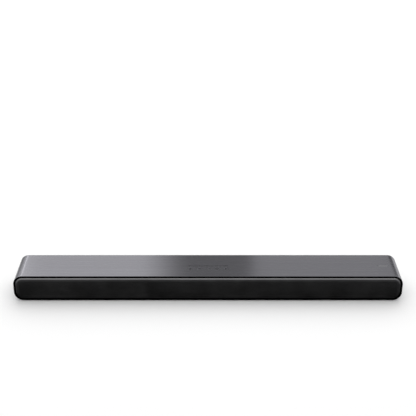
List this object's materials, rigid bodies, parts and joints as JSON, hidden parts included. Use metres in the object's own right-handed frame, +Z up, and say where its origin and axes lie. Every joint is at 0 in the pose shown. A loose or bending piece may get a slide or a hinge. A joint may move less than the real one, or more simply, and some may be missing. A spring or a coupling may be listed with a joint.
{
  "type": "soundbar",
  "caption": "Long low soundbar: brushed shell over a black bezel and perforated grille, top keys, and speaker drivers, boards and rear sockets inside.",
  "frame": {"origin": "on the table, under the middle of the bar's overall box", "axes": "+X along the bar, to the right for a listener in front; the grille faces -Y; +Z is up"},
  "size_m": [0.81, 0.095, 0.058],
  "materials": {
    "brushed_shell": "hairline brushed along the bar, dark grey, satin",
    "brushed_keys": "hairline brushed, dark grey, satin",
    "badge_metal": "fine brushed, satin",
    "case_plastic": "fine moulded texture, black",
    "bezel_plastic": "smooth black",
    "grille_steel": "perforated sheet, satin black paint",
    "scrim_cloth": "thin black woven cloth",
    "foot_rubber": "matt black",
    "plain_steel": "zinc plated",
    "driver_plastic": "glass-filled, matt black",
    "motor_steel": "zinc plated plates, dark ferrite",
    "spider_cloth": "resin-dipped corrugated cloth",
    "coil_copper": "enamelled wire on a former",
    "cone_paper": "pressed black paper",
    "surround_rubber": "soft matt rubber",
    "dome_silk": "coated silk",
    "board_green": "green solder mask",
    "heat_sink_alloy": "extruded, plain",
    "winding_yellow": "taped winding on a ferrite core",
    "socket_plastic": "smooth black",
    "lead_red": "PVC sleeve",
    "ribbon_white": "flat flexible ribbon",
    "smoked_lens": "dark translucent, polished"
  },
  "bodies": {
    "case": {"top_cover": "brushed_shell", "bottom_tray": "case_plastic", "front_bezel": "bezel_plastic", "front_grille": "grille_steel", "grille_frame": "case_plastic", "acoustic_cloth": "scrim_cloth", "front_baffle": "case_plastic", "rear_panel": "case_plastic", "badge_plate": "badge_metal", "front_left_foot": "foot_rubber", "front_right_foot": "foot_rubber", "rear_left_foot": "foot_rubber", "rear_right_foot": "foot_rubber", "key_guide": "case_plastic", "key_board": "board_green", "key_ribbon": "ribbon_white", "main_board": "board_green", "heat_sink": "heat_sink_alloy", "power_board": "board_green", "transformer": "winding_yellow", "dc_lead": "lead_red", "power_inlet": "socket_plastic", "hdmi_socket": "plain_steel", "optical_socket": "socket_plastic", "aux_jack": "socket_plastic", "usb_socket": "plain_steel", "indicator_lens": "smoked_lens", "indicator_board": "board_green", "left_keyhole_plate": "plain_steel", "left_speaker_box": "driver_plastic", "left_speaker_lead": "lead_red", "left_woofer_frame": "driver_plastic", "left_woofer_motor": "motor_steel", "left_woofer_spider": "spider_cloth", "left_woofer_surround": "surround_rubber", "left_tweeter_frame": "driver_plastic", "left_tweeter_motor": "motor_steel", "right_keyhole_plate": "plain_steel", "right_speaker_box": "driver_plastic", "right_speaker_lead": "lead_red", "right_woofer_frame": "driver_plastic", "right_woofer_motor": "motor_steel", "right_woofer_spider": "spider_cloth", "right_woofer_surround": "surround_rubber", "right_tweeter_frame": "driver_plastic", "right_tweeter_motor": "motor_steel"},
    "power_key": {"power_key": "brushed_keys"},
    "source_key": {"source_key": "brushed_keys"},
    "volume_down_key": {"volume_down_key": "brushed_keys"},
    "volume_up_key": {"volume_up_key": "brushed_keys"},
    "play_key": {"play_key": "brushed_keys"},
    "left_woofer_mover": {"left_woofer_cone": "cone_paper", "left_woofer_dust_cap": "cone_paper", "left_woofer_voice_coil": "coil_copper"},
    "left_tweeter_mover": {"left_tweeter_dome": "dome_silk"},
    "right_woofer_mover": {"right_woofer_cone": "cone_paper", "right_woofer_dust_cap": "cone_paper", "right_woofer_voice_coil": "coil_copper"},
    "right_tweeter_mover": {"right_tweeter_dome": "dome_silk"},
    "optical_shutter": {"optical_flap": "socket_plastic"}
  },
  "joints": [
    {"name": "power_key_press", "type": "slide", "parent": "case", "child": "power_key", "axis": [0, 0, -1], "range_m": [0, 0.0005], "stiffness_N_per_m": 500, "springref_m": -0.003},
    {"name": "source_key_press", "type": "slide", "parent": "case", "child": "source_key", "axis": [0, 0, -1], "range_m": [0, 0.0005], "stiffness_N_per_m": 500, "springref_m": -0.003},
    {"name": "volume_down_key_press", "type": "slide", "parent": "case", "child": "volume_down_key", "axis": [0, 0, -1], "range_m": [0, 0.0005], "stiffness_N_per_m": 500, "springref_m": -0.003},
    {"name": "volume_up_key_press", "type": "slide", "parent": "case", "child": "volume_up_key", "axis": [0, 0, -1], "range_m": [0, 0.0005], "stiffness_N_per_m": 500, "springref_m": -0.003},
    {"name": "play_key_press", "type": "slide", "parent": "case", "child": "play_key", "axis": [0, 0, -1], "range_m": [0, 0.0005], "stiffness_N_per_m": 500, "springref_m": -0.003},
    {"name": "left_woofer_stroke", "type": "slide", "parent": "case", "child": "left_woofer_mover", "axis": [0, -1, 0], "range_m": [-0.002, 0.002], "stiffness_N_per_m": 1500, "deforming": ["left_woofer_surround", "left_woofer_spider"]},
    {"name": "right_woofer_stroke", "type": "slide", "parent": "case", "child": "right_woofer_mover", "axis": [0, -1, 0], "range_m": [-0.002, 0.002], "stiffness_N_per_m": 1500, "deforming": ["right_woofer_surround", "right_woofer_spider"]},
    {"name": "left_tweeter_stroke", "type": "slide", "parent": "case", "child": "left_tweeter_mover", "axis": [0, -1, 0], "range_m": [-0.0003, 0.0003], "stiffness_N_per_m": 600},
    {"name": "right_tweeter_stroke", "type": "slide", "parent": "case", "child": "right_tweeter_mover", "axis": [0, -1, 0], "range_m": [-0.0003, 0.0003], "stiffness_N_per_m": 600},
    {"name": "optical_flap_hinge", "type": "hinge", "parent": "case", "child": "optical_shutter", "pos_m": [0.022, 0.0293, 0.0209], "axis": [-1, 0, 0], "range_deg": [0, 85], "stiffness_Nm_per_rad": 0.0002, "springref_deg": -34.38}
  ]
}
